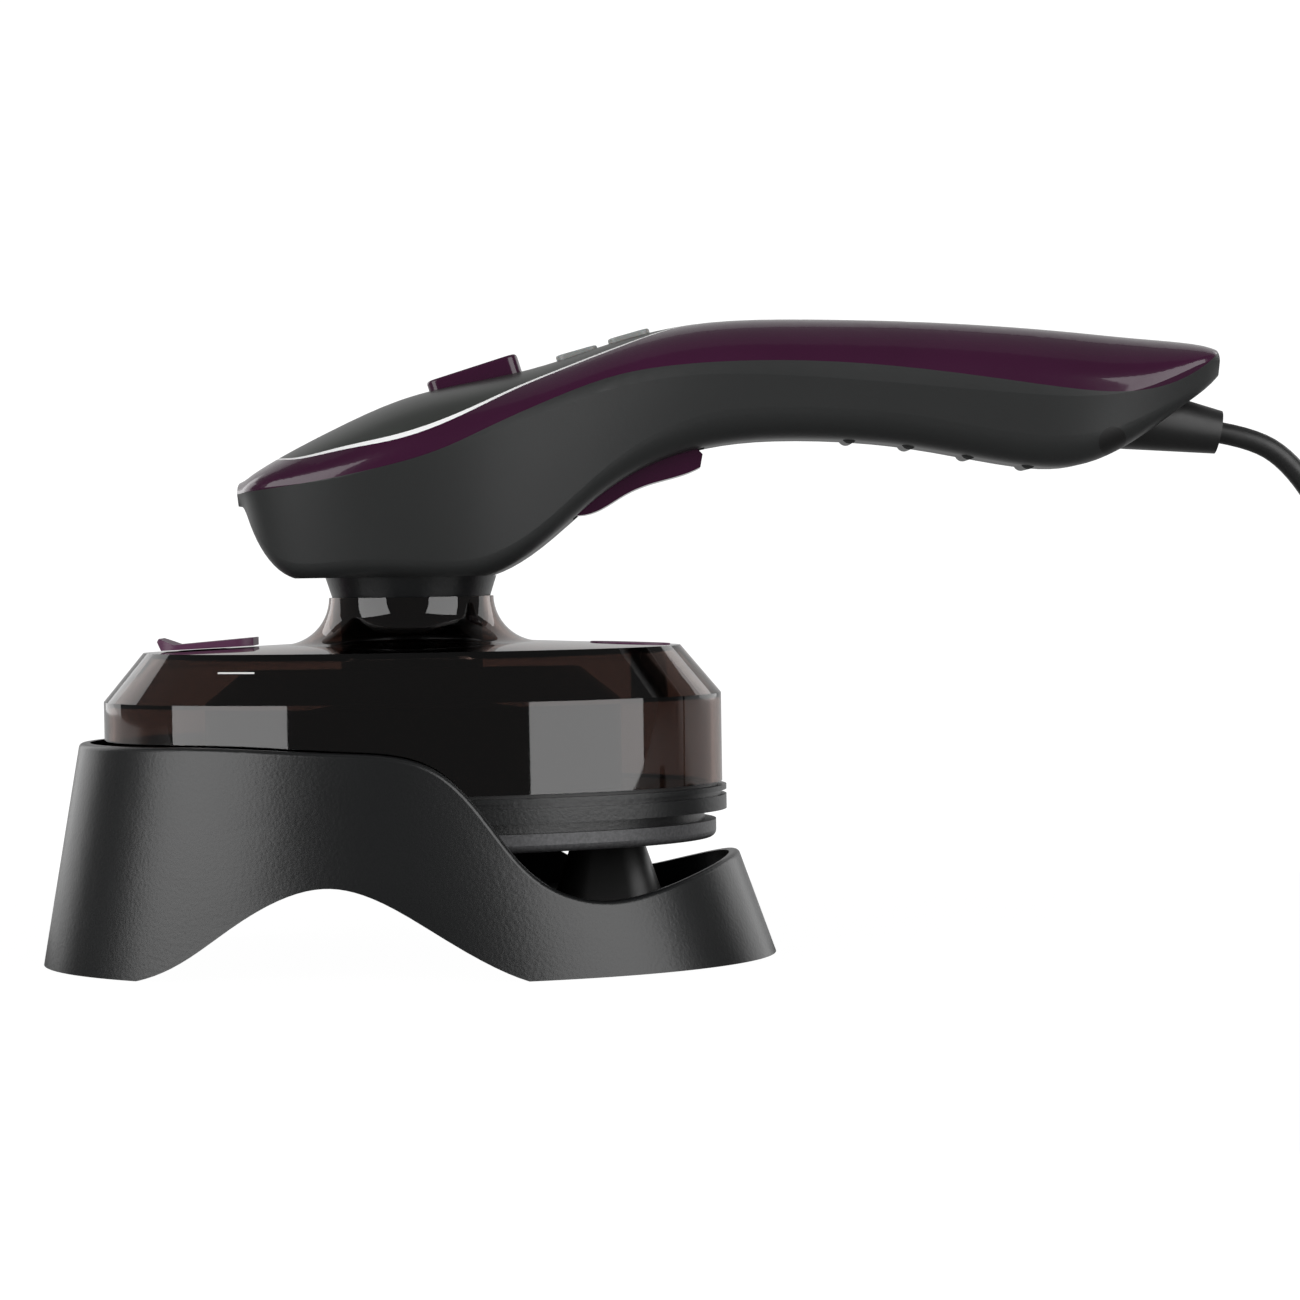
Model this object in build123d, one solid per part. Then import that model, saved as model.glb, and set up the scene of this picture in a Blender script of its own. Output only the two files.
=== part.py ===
import math
import os

from build123d import *

# Hand-held steam iron standing in its moulded stand. Millimetres, +Z up, nose towards -X, cord towards +X.
# The origin is on the table, under the middle of the object's length.

# Sole, base and tank: ovals that share one vertical axis with the neck
BASE_X = -54.0
SOLE_Z = 29.0
SOLE_HALF_LENGTH = 75.3
OVAL_RATIO = 0.635
SOLE_THICK = 4.5
SOLE_EDGE = 1.8
STEAM_HOLE_R = 1.6
STEAM_HOLES_OUTER = 18
STEAM_HOLES_INNER = 10
STEAM_HOLE_DEPTH = 2.5
RING_HALF_LENGTH = 78.0
RING_THICK = 6.0
RING_GROOVE = 1.2
WAIST_HEIGHT = 2.6
WAIST_INSET = 5.6
SEAL_HEIGHT = 0.9
SEAL_WIDTH = 3.0
HEATER_HALF_LENGTH = 58.0
HEATER_GAP = 0.6
HEATER_TOP_WALL = 2.0
TANK_HALF_LENGTH = 77.0
TANK_WALL = 2.2
TANK_SIDE_HEIGHT = 22.0
TANK_CHAMFER_HEIGHT = 12.0
TANK_CHAMFER_INSET = 10.0
DECK_RISE = 1.5
FLARE_R = 31.0
NECK_R = 20.5
NECK_TOP_Z = 90.0
CORE_HALF_LENGTH = 52.0
CORE_WALL = 2.0
CORE_HEAD_GAP = 4.0
CHIMNEY_GAP = 0.6
TUBE_BORE_R = 10.0

# Filler flap and the oval cap at the rear of the deck
FILLER_X = -106.0
FILLER_HOLE_R = 6.5
FILLER_RECESS_GAP = 0.3
FILLER_RECESS_DEPTH = 0.6
FLAP_LENGTH = 23.0
FLAP_WIDTH = 15.0
FLAP_THICK = 1.4
FLAP_HEEL = 0.6
FLAP_TAB = 3.0
FLAP_LIFT = 0.3
DECK_CAP_X = 0.5
DECK_CAP_LENGTH = 20.0
DECK_CAP_WIDTH = 11.0
DECK_CAP_PROUD = 0.3
VALVE_R = 4.6
VALVE_X = DECK_CAP_X + 4.8
VALVE_DROP = 12.0

# Head and handle: one skin drawn through upright sections, split along a parting line
COLLAR_HEIGHT = 5.0
COLLAR_FLARE = 1.6
HEAD_FLOOR_Z = NECK_TOP_Z + COLLAR_HEIGHT
FLOOR_CUT = 0.6
HEAD_HALF_WIDTH = 31.0
GRIP_HALF_WIDTH = 18.6
GRIP_TOP_Z = 157.5
GRIP_THICK = 30.0
SHELL_WALL = 2.4
NOSE_X = -96.0
TAIL_X = 147.0

# Control panel on the head
PANEL_FRONT_X = -86.0
PANEL_REAR_X = 16.5
PANEL_HALF_WIDTH = 28.2
PANEL_THICK = 1.4
PANEL_LEDGE = 3.0
TRIM_WIDTH = 0.9
TRIM_THICK = 1.0
BUTTON_LENGTH = 10.6
BUTTON_WIDTH = 8.0
BUTTON_PROUD = 1.0
BUTTON_DEPTH = 4.0
BUTTON_TRAVEL = 0.8
BUTTON_GAP = 0.35
BUTTON_TILT = 15.0
SLIDER_LENGTH = 23.4
SLIDER_WIDTH = 10.0
SLIDER_RISE = 3.5
SLIDER_ROUND = 0.8
SLIDER_TRAVEL = 4.0
SLIDER_TILT = 17.0
SLIDER_DEPTH = 3.0

# Trigger under the handle and the switch it presses
TRIGGER_WIDTH = 15.0
TRIGGER_GAP = 0.5
TRIGGER_PULL = 6.0
TRIGGER_FRONT = 10.9
TRIGGER_REACH = 21.2
TRIGGER_PIN_X = -2.0
TRIGGER_PIN_Z = 123.0
TRIGGER_PIN_R = 1.5
PIN_RUNNING_GAP = 0.06
TRIGGER_BOSS_R = 3.4
SWITCH_X = 13.0
SWITCH_LENGTH = 13.0
SWITCH_WIDTH = 6.4
SWITCH_HEIGHT = 8.0
PLUNGER_R = 1.4
PLUNGER_REACH = 3.0
PLUNGER_STROKE = 2.0
PLUNGER_GAP = 0.3
RIB_THICK = 2.0

# Finger ridges across the underside of the grip
RIDGE_FRONT_X = 55.5
RIDGE_PITCH = 14.7
RIDGE_COUNT = 4
RIDGE_R = 2.0
RIDGE_PROUD = 0.8
RIDGE_WIDTH = 17.0

# Works inside the handle
PUMP_R = 9.0
PUMP_LENGTH = 40.0
PUMP_X = 60.0
PUMP_Z = 141.0
BOARD_LENGTH = 40.0
BOARD_WIDTH = 30.0
BOARD_THICK = 1.6
BOARD_Z = 116.0
POST_R = 2.6
SCREW_PLUG_X = 119.5
SCREW_PLUG_Z = 125.5
SCREW_PLUG_R = 3.5
SCREW_PLUG_DEPTH = 1.4

# Cord guard, cord, coil, tie and plug
GUARD_ROOT = (124.0, 132.4)
GUARD_END = (148.0, 127.8)
GUARD_ROOT_R = 8.4
GUARD_END_R = 5.4
CORD_D = 5.5
COIL_X = 262.0
COIL_OUTER_R = 38.0
COIL_SIDE_GAP = 1.7
COIL_RISE_GAP = 0.6
COIL_HALF_TURNS = 4
COIL_LAYERS = 4
COIL_LIFT = 1.2
TIE_THICK = 0.8
TIE_WIDTH = 9.0
TIE_GAP = 0.35
PLUG_R = 17.5
PLUG_LENGTH = 34.0
PLUG_GRIP_R = 7.0
PLUG_PIN_R = 2.4
PLUG_PIN_LENGTH = 19.0
PLUG_PIN_SPACING = 19.0
PLUG_FACE = 6.0

# Stand: a leaning oval skirt with a high front, a low saddle and an arch under each side
STAND_X = -55.6
STAND_HALF_LENGTH = 91.4
STAND_HALF_WIDTH = 60.0
STAND_HEIGHT = 58.0
STAND_FRONT_LEAN = 10.4
STAND_REAR_LEAN = 20.4
STAND_SIDE_LEAN = 6.7
STAND_WALL = 2.6
RIM_FRONT_Z = 55.0
RIM_SADDLE_Z = 17.5
RIM_REAR_Z = 26.0
RIM_ROUND = 1.2
ARCH_HEIGHT = 22.5
ARCH_FRONT_X = -118.0
ARCH_REAR_X = -24.0
DECK_FRONT_Z = 26.0
DECK_REAR_Z = 13.0
DECK_THICK = 2.4
POST_TAPER = 5.4
REAR_POST_X = -6.0
REAR_POST_LENGTH = 28.0
REAR_POST_WIDTH = 34.0
FRONT_POST_X = -100.0

# Heights that follow from the stack above the sole
SOLE_TOP_Z = SOLE_Z + SOLE_THICK
RING_Z = SOLE_TOP_Z + WAIST_HEIGHT
RING_TOP_Z = RING_Z + RING_THICK
TANK_Z = RING_TOP_Z + SEAL_HEIGHT
SHOULDER_Z = TANK_Z + TANK_SIDE_HEIGHT
DECK_Z = SHOULDER_Z + TANK_CHAMFER_HEIGHT
FLARE_Z = DECK_Z + DECK_RISE
WIDE = 200.0


def oval(half_length, z):
    """Oval face of the base family at a height; its width follows its length."""
    half_width = half_length * OVAL_RATIO
    return Pos(BASE_X, 0, z) * Ellipse(half_length, half_width)


def oval_disc(half_length, z, height):
    return extrude(oval(half_length, z), height)


def disc(radius, x, z, height):
    return extrude(Pos(x, 0, z) * Circle(radius), height)


def side_prism(edges, half_width):
    """Prism across the object from a closed outline drawn in side view (X, Z)."""
    face = Plane.XZ * make_face(edges)
    return extrude(face, half_width, both=True)


def side_polygon(points, half_width):
    return side_prism(Polyline(*points, close=True).edges(), half_width)


# Sections of the head and handle: x, bottom, widest height, top, half width, bottom half width, corner radius
GRIP_BOTTOM_Z = GRIP_TOP_Z - GRIP_THICK
SECTIONS = [
    (NOSE_X, HEAD_FLOOR_Z + 18.0, 116.0, 119.0, 0.29 * HEAD_HALF_WIDTH, 0.2 * HEAD_HALF_WIDTH, 1.2),
    (-92.5, HEAD_FLOOR_Z + 13.0, 116.5, 121.0, 0.58 * HEAD_HALF_WIDTH, 0.39 * HEAD_HALF_WIDTH, 3.0),
    (-84.0, HEAD_FLOOR_Z + 1.2, 117.5, 126.0, 0.81 * HEAD_HALF_WIDTH, 0.61 * HEAD_HALF_WIDTH, 5.0),
    (-70.0, HEAD_FLOOR_Z - FLOOR_CUT, 119.0, 133.0, 0.95 * HEAD_HALF_WIDTH, 0.76 * HEAD_HALF_WIDTH, 6.0),
    (-54.0, HEAD_FLOOR_Z - FLOOR_CUT, 123.0, 139.5, HEAD_HALF_WIDTH, 0.81 * HEAD_HALF_WIDTH, 6.0),
    (-36.0, HEAD_FLOOR_Z - FLOOR_CUT, 128.5, 143.5, 0.95 * HEAD_HALF_WIDTH, 0.74 * HEAD_HALF_WIDTH, 6.0),
    (-20.0, HEAD_FLOOR_Z + 8.0, 134.0, 147.0, 0.84 * HEAD_HALF_WIDTH, 0.63 * HEAD_HALF_WIDTH, 6.0),
    (-4.0, GRIP_BOTTOM_Z - 11.5, 139.5, 152.0, 22.5, 17.5, 7.0),
    (16.0, GRIP_BOTTOM_Z - 2.5, 143.0, GRIP_TOP_Z - 1.0, GRIP_HALF_WIDTH + 0.9, GRIP_HALF_WIDTH - 2.1, 9.0),
    (44.0, GRIP_BOTTOM_Z, 142.5, GRIP_TOP_Z, GRIP_HALF_WIDTH, GRIP_HALF_WIDTH - 2.6, 9.0),
    (72.0, GRIP_BOTTOM_Z - 2.5, 140.0, GRIP_TOP_Z - 1.0, GRIP_HALF_WIDTH, GRIP_HALF_WIDTH - 2.6, 9.0),
    (96.0, GRIP_BOTTOM_Z - 7.0, 137.5, GRIP_TOP_Z - 2.7, GRIP_HALF_WIDTH + 0.9, GRIP_HALF_WIDTH - 2.1, 9.0),
    (112.0, GRIP_BOTTOM_Z - 7.5, 136.5, GRIP_TOP_Z - 4.3, GRIP_HALF_WIDTH + 1.2, GRIP_HALF_WIDTH - 2.1, 9.0),
    (126.0, GRIP_BOTTOM_Z - 1.5, 138.0, GRIP_TOP_Z - 5.9, GRIP_HALF_WIDTH - 0.1, GRIP_HALF_WIDTH - 3.6, 7.0),
    (139.0, GRIP_BOTTOM_Z + 7.5, 143.0, GRIP_TOP_Z - 7.3, GRIP_HALF_WIDTH - 3.1, GRIP_HALF_WIDTH - 6.6, 4.0),
    (TAIL_X, GRIP_BOTTOM_Z + 14.0, 145.0, GRIP_TOP_Z - 9.1, GRIP_HALF_WIDTH - 8.6,
     GRIP_HALF_WIDTH - 11.1, 1.5),
]
LEAST_CORNER = 0.6


def handle_section(x, bottom, side, top, half_width, foot, corner, inset):
    """Upright section: half an oval above the widest height, a rounded trough below it."""
    plane = Plane(origin=(x, 0, 0), x_dir=(0, 1, 0), z_dir=(1, 0, 0))
    wide = half_width - inset
    narrow = foot - inset
    low = bottom + inset
    trough = FilletPolyline(
        (wide, side), (narrow, low), (-narrow, low), (-wide, side), radius=max(corner - inset, LEAST_CORNER)
    )
    crown = EllipticalCenterArc((0, side), wide, top - side - inset, start_angle=0, arc_size=180)
    return plane * make_face([crown, trough])


def handle_form(inset):
    """The head and handle as one solid, drawn in from the outer skin by the inset on every side."""
    faces = []
    for x, *sizes in SECTIONS:
        if x == NOSE_X:
            x += inset
        if x == TAIL_X:
            x -= inset
        faces.append(handle_section(x, *sizes, inset))
    above_floor = Pos(0, 0, HEAD_FLOOR_Z + inset + WIDE / 2) * Box(2 * WIDE, WIDE, WIDE)
    return loft(faces) & above_floor


# Parting line between the coloured top cover and the grey lower body, as side-view points
PARTING = [
    (NOSE_X - 10.0, 115.2),
    (NOSE_X, 116.0),
    (-75.5, 118.4),
    (-60.0, 121.3),
    (-44.0, 125.8),
    (-32.0, 131.2),
    (-17.0, 137.8),
    (-1.0, 143.4),
    (15.0, 145.8),
    (37.0, 146.5),
    (55.0, 145.7),
    (72.5, 143.9),
    (90.0, 141.4),
    (108.0, 138.6),
    (120.5, 137.5),
    (128.0, 138.0),
    (135.0, 139.8),
    (142.0, 143.4),
    (TAIL_X, 147.4),
    (TAIL_X + 10.0, 157.0),
]


def above_parting():
    line = Spline(*PARTING)
    roof = Polyline(line @ 1, (PARTING[-1][0], WIDE), (PARTING[0][0], WIDE), line @ 0)
    return side_prism(line.edges() + roof.edges(), HEAD_HALF_WIDTH + 10.0)


def panel_prism(grow):
    """Leaf-shaped prism over the head: the control panel's outline in plan, grown by a margin."""
    front = PANEL_FRONT_X - grow
    rear = PANEL_REAR_X + 2 * grow
    wide = PANEL_HALF_WIDTH
    edge = [
        (front, 0.0),
        (PANEL_FRONT_X + 6.0, 0.72 * wide + grow),
        (PANEL_FRONT_X + 15.5, 0.88 * wide + grow),
        (PANEL_FRONT_X + 30.0, wide + grow),
        (PANEL_FRONT_X + 49.5, 0.9 * wide + grow),
        (PANEL_FRONT_X + 65.5, 0.64 * wide + grow),
        (PANEL_FRONT_X + 81.5, 0.46 * wide + grow),
        (PANEL_REAR_X - 9.0, 0.27 * wide + grow),
        (rear, 0.0),
    ]
    upper = Spline(*edge, tangents=((0, 1), (0.2, -1)), tangent_scalars=(1, 0.4))
    face = make_face(upper.edges() + mirror(upper, Plane.XZ).edges())
    return extrude(Pos(0, 0, HEAD_FLOOR_Z) * face, WIDE - HEAD_FLOOR_Z)


parts = {}

# Soleplate with its steam holes and rounded edge
sole = oval_disc(SOLE_HALF_LENGTH, SOLE_Z, SOLE_THICK)
sole = fillet(sole.edges().group_by(Axis.Z)[0], SOLE_EDGE)


def steam_holes(share, count):
    holes = []
    for index in range(count):
        turn = 2 * math.pi * index / count
        x = BASE_X + share * SOLE_HALF_LENGTH * math.cos(turn)
        y = share * SOLE_HALF_LENGTH * OVAL_RATIO * math.sin(turn)
        holes.append(extrude(Pos(x, y, SOLE_Z) * Circle(STEAM_HOLE_R), STEAM_HOLE_DEPTH))
    return holes


parts["soleplate"] = sole - steam_holes(0.78, STEAM_HOLES_OUTER) - steam_holes(0.45, STEAM_HOLES_INNER)

# Heater casting on the sole, inside the base ring
HEATER_TOP_Z = RING_TOP_Z - HEATER_TOP_WALL - HEATER_GAP
parts["heater_block"] = oval_disc(HEATER_HALF_LENGTH, SOLE_TOP_Z, HEATER_TOP_Z - SOLE_TOP_Z)

# Base ring: waist on the sole, wide band above it with a groove round its top edge
ring = oval_disc(RING_HALF_LENGTH - WAIST_INSET, SOLE_TOP_Z, WAIST_HEIGHT)
ring += oval_disc(RING_HALF_LENGTH, RING_Z, RING_THICK)
ring -= oval_disc(HEATER_HALF_LENGTH + HEATER_GAP, SOLE_TOP_Z, RING_TOP_Z - HEATER_TOP_WALL - SOLE_TOP_Z)
ring -= disc(TUBE_BORE_R, BASE_X, SOLE_Z, RING_TOP_Z)
groove = oval_disc(RING_HALF_LENGTH + RING_GROOVE, RING_TOP_Z - 2 * RING_GROOVE, RING_GROOVE)
groove -= oval_disc(RING_HALF_LENGTH - RING_GROOVE, RING_TOP_Z - 2 * RING_GROOVE, RING_GROOVE)
parts["base_ring"] = ring - groove

# Rubber seal between the ring and the tank's lower edge
seal = oval_disc(TANK_HALF_LENGTH - TANK_WALL / 2, RING_TOP_Z, SEAL_HEIGHT)
parts["tank_seal"] = seal - oval_disc(TANK_HALF_LENGTH - TANK_WALL / 2 - SEAL_WIDTH, RING_TOP_Z, SEAL_HEIGHT)


def bell(inset):
    """The tank's form: upright side, chamfered shoulder, low deck and a flare up to the round neck."""
    half = TANK_HALF_LENGTH - inset
    top_half = TANK_HALF_LENGTH - TANK_CHAMFER_INSET - inset
    rise = FLARE_Z - inset
    side = oval_disc(half, TANK_Z, TANK_SIDE_HEIGHT - inset / 2)
    shoulder = loft([oval(half, SHOULDER_Z - inset / 2), oval(top_half, DECK_Z - inset)], ruled=True)
    deck = loft([oval(top_half, DECK_Z - inset), Pos(BASE_X, 0, rise) * Circle(FLARE_R)], ruled=True)
    sweep_r = NECK_TOP_Z - rise
    foot = RadiusArc((FLARE_R, rise), (NECK_R - inset, NECK_TOP_Z), sweep_r * 1.02)
    rest = Polyline(foot @ 1, (0, NECK_TOP_Z), (0, rise), foot @ 0)
    flare = revolve(Plane.XZ * make_face(foot.edges() + rest.edges()), Axis.Z)
    return side + shoulder + deck + Pos(BASE_X, 0, 0) * flare


# Core: the opaque steam housing that the tank surrounds, with a chimney for the tubes
CHIMNEY_R = NECK_R - TANK_WALL - CHIMNEY_GAP
CORE_TOP_Z = DECK_Z - CORE_HEAD_GAP


def core_form(inset):
    half = CORE_HALF_LENGTH - inset
    body = oval_disc(half, RING_TOP_Z, SHOULDER_Z - inset / 2 - RING_TOP_Z)
    top_half = CORE_HALF_LENGTH - TANK_CHAMFER_INSET - inset
    body += loft([oval(half, SHOULDER_Z - inset / 2), oval(top_half, CORE_TOP_Z - inset)], ruled=True)
    return body + disc(CHIMNEY_R - inset, BASE_X, RING_TOP_Z, NECK_TOP_Z - RING_TOP_Z)


parts["steam_housing"] = core_form(0) - core_form(CORE_WALL)

# Height of the deck, which rises gently from its edge to the flare of the neck
DECK_HALF_LENGTH = TANK_HALF_LENGTH - TANK_CHAMFER_INSET
DECK_SLOPE = DECK_RISE / (DECK_HALF_LENGTH - FLARE_R)


def deck_height(x):
    return DECK_Z + DECK_SLOPE * (DECK_HALF_LENGTH - abs(x - BASE_X))


# Tank: smoked clear shell with the filler hole and the seat of the rear cap
tank = bell(0) - bell(TANK_WALL)
tank -= disc(FILLER_HOLE_R, FILLER_X, SHOULDER_Z, NECK_TOP_Z - SHOULDER_Z)
cap_outline = Pos(DECK_CAP_X, 0, SHOULDER_Z) * Ellipse(DECK_CAP_LENGTH / 2, DECK_CAP_WIDTH / 2)
cap_prism = extrude(cap_outline, NECK_TOP_Z - SHOULDER_Z)
CAP_SEAT_Z = DECK_Z - TANK_WALL / 4
cap_seat = extrude(Pos(0, 0, CAP_SEAT_Z - SHOULDER_Z) * cap_outline, NECK_TOP_Z - CAP_SEAT_Z)
valve_hole = disc(VALVE_R, VALVE_X, SHOULDER_Z, NECK_TOP_Z - SHOULDER_Z)
parts["water_tank"] = tank - cap_seat - valve_hole

# Rear cap, almost flush with the sloping deck, and the valve stem that hangs from it into the tank
CAP_FRONT_X = DECK_CAP_X - DECK_CAP_LENGTH / 2
CAP_REAR_X = DECK_CAP_X + DECK_CAP_LENGTH / 2
cap_side = [
    (CAP_FRONT_X, CAP_SEAT_Z),
    (CAP_REAR_X, CAP_SEAT_Z),
    (CAP_REAR_X, deck_height(CAP_REAR_X) + DECK_CAP_PROUD),
    (CAP_FRONT_X, deck_height(CAP_FRONT_X) + DECK_CAP_PROUD),
]
rear_cap = cap_prism & side_polygon(cap_side, DECK_CAP_WIDTH)
cap_top = rear_cap.faces().sort_by(Axis.Z)[-1]
parts["rear_cap"] = fillet(cap_top.edges(), DECK_CAP_PROUD / 2)
parts["outlet_valve"] = disc(VALVE_R, VALVE_X, CAP_SEAT_Z - VALVE_DROP, VALVE_DROP)

# Filler flap: a thin lid along the deck with a finger tab, hollowed above the hole
FLAP_REAR_X = FILLER_X + FLAP_LENGTH / 2 + 1.5
FLAP_FRONT_X = FLAP_REAR_X - FLAP_LENGTH
FLAP_Z = deck_height(FLAP_REAR_X) + FLAP_LIFT
FLAP_FRONT_Z = deck_height(FLAP_FRONT_X) + FLAP_LIFT
flap_side = [
    (FLAP_FRONT_X, FLAP_FRONT_Z),
    (FLAP_REAR_X, FLAP_Z),
    (FLAP_REAR_X, FLAP_Z + FLAP_THICK + FLAP_HEEL),
    (FLAP_FRONT_X + 3.5, FLAP_FRONT_Z + FLAP_THICK),
    (FLAP_FRONT_X - 0.6, FLAP_FRONT_Z + FLAP_TAB),
    (FLAP_FRONT_X - 1.2, FLAP_FRONT_Z + FLAP_TAB - 0.8),
]
flap = side_polygon(flap_side, FLAP_WIDTH / 2)
flap_plan = Pos((FLAP_FRONT_X + FLAP_REAR_X) / 2, 0, FLAP_FRONT_Z) * RectangleRounded(
    FLAP_LENGTH + 4.0, FLAP_WIDTH, FLAP_WIDTH * 0.42
)
flap = flap & extrude(flap_plan, FLAP_TAB + FLAP_HEEL + 2 * FLAP_THICK)
RECESS_TOP_Z = deck_height(FILLER_X) + FLAP_LIFT + FILLER_RECESS_DEPTH
flap -= disc(FILLER_HOLE_R - FILLER_RECESS_GAP, FILLER_X, SHOULDER_Z, RECESS_TOP_Z - SHOULDER_Z)
parts["filler_flap"] = flap

# Collar that joins the neck to the head, with a bore for the tubes and wires
collar_side = [
    (TUBE_BORE_R, NECK_TOP_Z),
    (NECK_R - COLLAR_FLARE / 2, NECK_TOP_Z),
    (NECK_R + COLLAR_FLARE / 2, HEAD_FLOOR_Z),
    (TUBE_BORE_R, HEAD_FLOOR_Z),
]
collar = revolve(Plane.XZ * make_face(Polyline(*collar_side, close=True).edges()), Axis.Z)
parts["neck_collar"] = Pos(BASE_X, 0, 0) * collar

# Head and handle skin, and what is cut from it
outer = handle_form(0)
skin = outer - handle_form(SHELL_WALL)
upper_half = above_parting()
under_panel = handle_form(PANEL_THICK)
under_trim = handle_form(TRIM_THICK)
panel_area = panel_prism(0)
trim_area = panel_prism(TRIM_WIDTH)
window = panel_prism(-PANEL_LEDGE)


def on_crown(x, tilt):
    """Plane that lies on the head's crown at x, tilted back with the slope."""
    ray = Line((x, 0, HEAD_FLOOR_Z), (x, 0, WIDE))
    top = (ray.edge() & outer).bounding_box().max.Z
    lean = math.radians(tilt)
    along = (math.cos(lean), 0, math.sin(lean))
    return Plane(origin=(x, 0, top), x_dir=along, z_dir=(-math.sin(lean), 0, math.cos(lean)))


def key_block(plane, length, width, low, high):
    """Block with round corners standing on a crown plane, from low to high along its normal."""
    return extrude(plane * Pos(0, 0, low) * RectangleRounded(length, width, width * 0.3), high - low)


RIDGE_X = [RIDGE_FRONT_X + index * RIDGE_PITCH for index in range(RIDGE_COUNT)]
BUTTON_X = (-11.6, 1.4)
SLIDER_X = -37.0
panel = (outer - under_panel) & panel_area & upper_half
openings = []
for name, x in zip(("button_front", "button_rear"), BUTTON_X):
    plane = on_crown(x, BUTTON_TILT)
    key = key_block(plane, BUTTON_LENGTH, BUTTON_WIDTH, -BUTTON_DEPTH, BUTTON_PROUD)
    top_edges = key.edges().group_by(Axis(plane.origin, plane.z_dir))[-1]
    parts[name] = fillet(top_edges, BUTTON_PROUD * 0.45)
    openings.append(
        key_block(
            plane,
            BUTTON_LENGTH + 2 * BUTTON_GAP,
            BUTTON_WIDTH + 2 * BUTTON_GAP,
            -BUTTON_DEPTH - BUTTON_TRAVEL - BUTTON_GAP,
            BUTTON_PROUD + BUTTON_DEPTH,
        )
    )

# Slider: a raised bar with round corners that slides up the slope
slider_plane = on_crown(SLIDER_X, SLIDER_TILT)
slider = key_block(slider_plane, SLIDER_LENGTH, SLIDER_WIDTH, -SLIDER_DEPTH, SLIDER_RISE)
slider_top = slider.edges().group_by(Axis(slider_plane.origin, slider_plane.z_dir))[-1]
parts["slider"] = fillet(slider_top, SLIDER_ROUND)
slot_plane = slider_plane * Pos(SLIDER_TRAVEL / 2, 0, 0)
openings.append(
    extrude(
        slot_plane
        * Pos(0, 0, -SLIDER_DEPTH - BUTTON_GAP)
        * RectangleRounded(
            SLIDER_LENGTH + SLIDER_TRAVEL + 2 * BUTTON_GAP, SLIDER_WIDTH + 2 * BUTTON_GAP, SLIDER_WIDTH * 0.3
        ),
        SLIDER_DEPTH + SLIDER_RISE + SLIDER_DEPTH,
    )
)
parts["control_panel"] = panel - openings
trim = (outer - under_trim) & (trim_area - panel_area) & upper_half
parts["panel_trim"] = trim

# Top cover: the skin above the parting line, recessed for the panel and trim and open under the panel
cover = (skin & upper_half) - panel - trim
parts["top_cover"] = cover - (window & upper_half) - openings

# Cord guard: a tapering rubber sleeve let into the tail
guard_axis = Vector(GUARD_END[0] - GUARD_ROOT[0], 0, GUARD_END[1] - GUARD_ROOT[1])
guard_plane = Plane(origin=(GUARD_ROOT[0], 0, GUARD_ROOT[1]), z_dir=guard_axis)
guard_tip = guard_plane * Pos(0, 0, guard_axis.length)
guard = loft([guard_plane * Circle(GUARD_ROOT_R), guard_tip * Circle(GUARD_END_R)], ruled=True)
parts["cord_guard"] = guard

# Trigger: a curved lever on a cross pin, its upper part inside the handle
TRIGGER_TOP_Z = TRIGGER_PIN_Z + TRIGGER_BOSS_R
face_line = Spline(
    (TRIGGER_PIN_X - TRIGGER_FRONT, TRIGGER_PIN_Z - 13.5),
    (TRIGGER_PIN_X - 4.5, TRIGGER_PIN_Z - 12.2),
    (TRIGGER_PIN_X + 1.7, TRIGGER_PIN_Z - 8.6),
    (TRIGGER_PIN_X + 8.0, TRIGGER_PIN_Z - 6.0),
    (TRIGGER_PIN_X + 15.6, TRIGGER_PIN_Z - 4.0),
    (TRIGGER_PIN_X + 20.6, TRIGGER_PIN_Z - 2.0),
)
back_line = Polyline(
    face_line @ 1,
    (TRIGGER_PIN_X + TRIGGER_REACH, TRIGGER_PIN_Z + 1.2),
    (TRIGGER_PIN_X + 19.0, TRIGGER_TOP_Z),
    (TRIGGER_PIN_X - TRIGGER_BOSS_R, TRIGGER_TOP_Z),
    (TRIGGER_PIN_X - TRIGGER_BOSS_R, TRIGGER_PIN_Z - 4.0),
    face_line @ 0,
)
trigger = side_prism(face_line.edges() + back_line.edges(), TRIGGER_WIDTH / 2)
pin_line = Plane(origin=(TRIGGER_PIN_X, 0, TRIGGER_PIN_Z), z_dir=(0, 1, 0))
trigger -= extrude(pin_line * Circle(TRIGGER_PIN_R + PIN_RUNNING_GAP), WIDE, both=True)
parts["trigger"] = trigger

# Lower body: the skin below the parting line with its slot, ribs, posts and pin lugs
SLOT_DEPTH = 30.0
SLOT_FRONT_X = TRIGGER_PIN_X - TRIGGER_FRONT - TRIGGER_GAP
SLOT_REAR_X = TRIGGER_PIN_X + TRIGGER_REACH + TRIGGER_GAP
slot_length = SLOT_REAR_X - SLOT_FRONT_X
slot_width = TRIGGER_WIDTH + 2 * TRIGGER_GAP
trigger_lift = TRIGGER_REACH * math.sin(math.radians(TRIGGER_PULL))
slot_top = TRIGGER_TOP_Z + trigger_lift + TRIGGER_GAP
slot_middle = Pos((SLOT_FRONT_X + SLOT_REAR_X) / 2, 0, slot_top - SLOT_DEPTH / 2)
trigger_slot = slot_middle * Box(slot_length, slot_width, SLOT_DEPTH)
inside = handle_form(SHELL_WALL / 2) - upper_half


def cross_rib(x, low, high):
    """Upright rib across the lower body, between two heights."""
    return Pos(x, 0, (low + high) / 2) * Box(RIB_THICK, WIDE, high - low) & inside


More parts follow.
